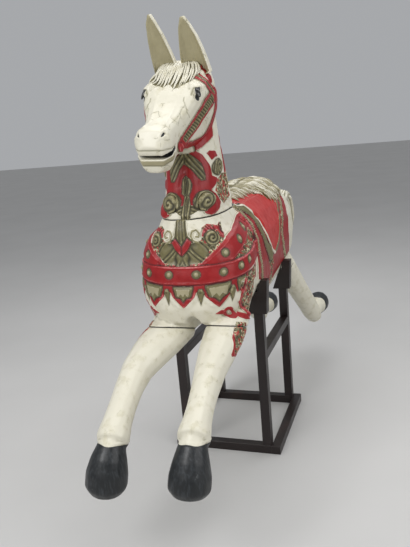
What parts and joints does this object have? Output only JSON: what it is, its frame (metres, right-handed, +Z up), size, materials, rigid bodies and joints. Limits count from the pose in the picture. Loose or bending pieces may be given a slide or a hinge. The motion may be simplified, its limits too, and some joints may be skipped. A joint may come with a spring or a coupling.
{
  "type": "carousel horse",
  "caption": "Carved and painted wooden galloping horse with saddle, breast band and bridle, resting in the cradles of a dark wooden stand.",
  "frame": {"origin": "middle of the footprint of the whole work, on the floor", "axes": "+Z up, -Y the way the horse faces, +X towards the horse's left side"},
  "size_m": [0.517, 1.9366, 1.6893],
  "materials": {
    "painted_wood": "aged satin paint over carved wood, ivory with red and old gold ornament",
    "stand_wood": "espresso-stained satin wood"
  },
  "bodies": {
    "root": {"base_cross_front": "stand_wood", "base_cross_rear": "stand_wood", "base_side_left": "stand_wood", "base_side_right": "stand_wood", "body": "painted_wood", "cradle_front_left": "stand_wood", "cradle_front_right": "stand_wood", "cradle_rear_left": "stand_wood", "cradle_rear_right": "stand_wood", "ear_left": "painted_wood", "ear_right": "painted_wood", "foreleg_left": "painted_wood", "foreleg_right": "painted_wood", "hindleg_left": "painted_wood", "hindleg_right": "painted_wood", "neck_and_head": "painted_wood", "post_front_left": "stand_wood", "post_front_right": "stand_wood", "post_rear_left": "stand_wood", "post_rear_right": "stand_wood", "rail_left": "stand_wood", "rail_right": "stand_wood", "tail": "painted_wood"}
  },
  "joints": []
}
